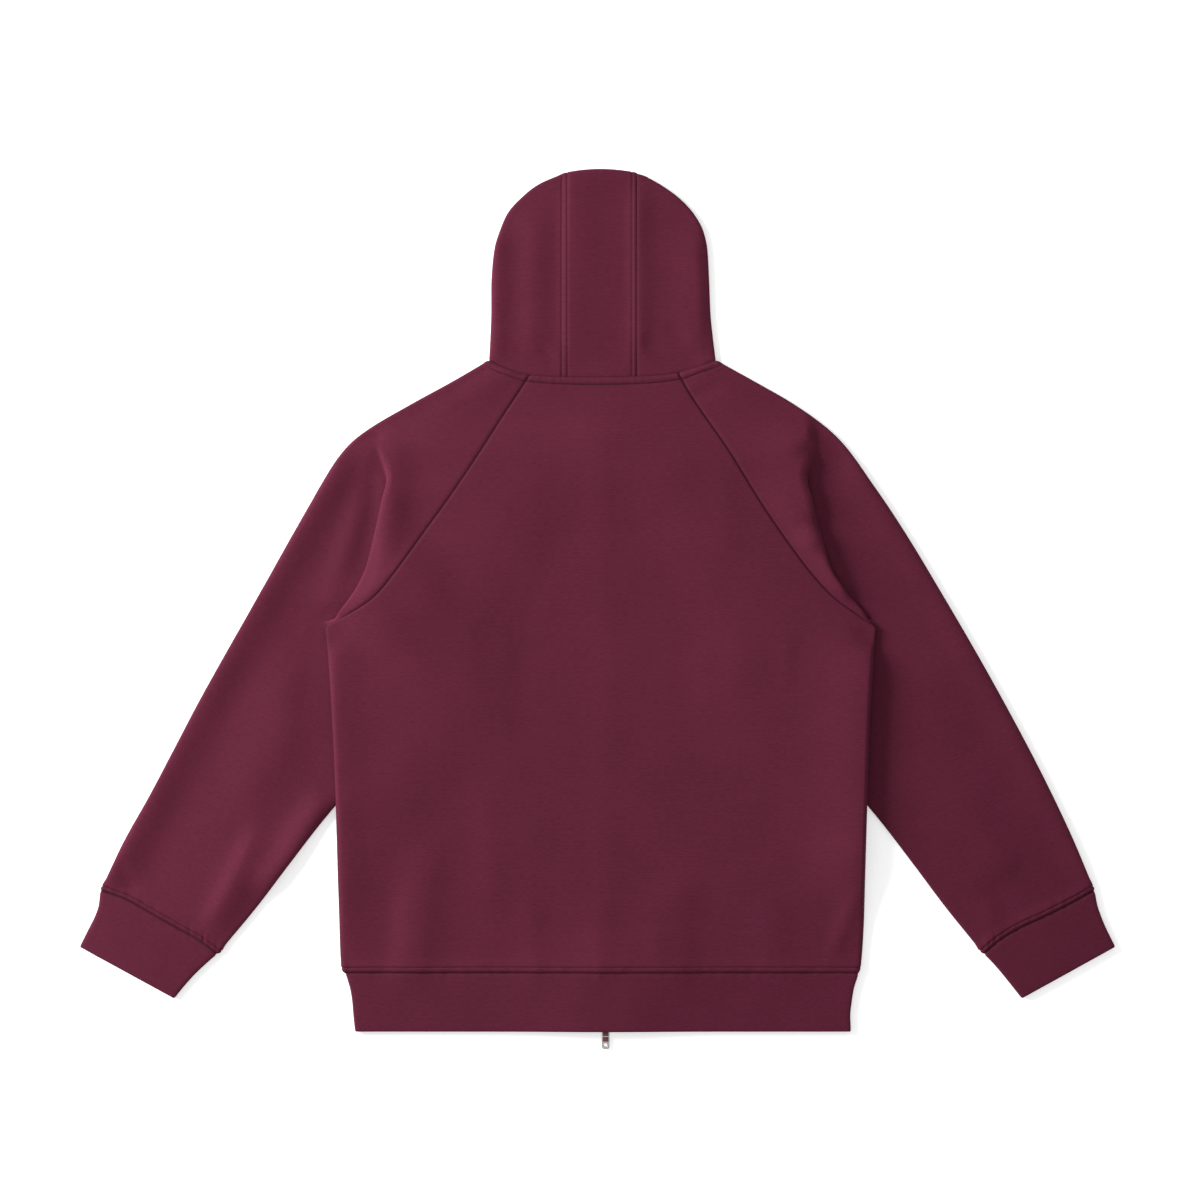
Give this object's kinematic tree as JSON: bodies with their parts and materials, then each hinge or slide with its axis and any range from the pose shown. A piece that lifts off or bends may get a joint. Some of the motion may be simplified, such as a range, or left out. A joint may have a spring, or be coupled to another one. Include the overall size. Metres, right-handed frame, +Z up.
{
  "type": "zip up hoodie",
  "caption": "Zip up raglan hoodie laid flat face down, with a three-panel hood, cuffs, a hem band and a two-way front zip.",
  "frame": {"origin": "under the middle of the whole garment's box, on the surface it lies on", "axes": "+Z up from the surface, out of the garment's back; +Y toward the top of the hood; the wearer's left sleeve lies toward -X"},
  "size_m": [1.1381, 0.9676, 0.0104],
  "materials": {
    "knit": "smooth heavy double-knit jersey in burgundy",
    "tape": "woven zip tape with coil teeth, burgundy",
    "metal": "bright nickel plated"
  },
  "bodies": {
    "garment": {"back_panel": "knit", "left_front": "knit", "right_front": "knit", "left_sleeve": "knit", "right_sleeve": "knit", "left_cuff": "knit", "right_cuff": "knit", "hem_band": "knit", "hood_center": "knit", "hood_left": "knit", "hood_right": "knit", "zip_tape_left": "tape", "zip_tape_right": "tape", "slider_lower": "metal", "slider_upper": "metal"},
    "lower_pull": {"pull_lower": "metal"},
    "upper_pull": {"pull_upper": "metal"}
  },
  "joints": [
    {"name": "lower_pull_hinge", "type": "hinge", "parent": "garment", "child": "lower_pull", "pos_m": [0.0084, -0.455, 0.00172], "axis": [1, 0, 0], "range_deg": [0, 175]},
    {"name": "upper_pull_hinge", "type": "hinge", "parent": "garment", "child": "upper_pull", "pos_m": [0.0084, 0.173, 0.00172], "axis": [1, 0, 0], "range_deg": [0, 175]}
  ]
}
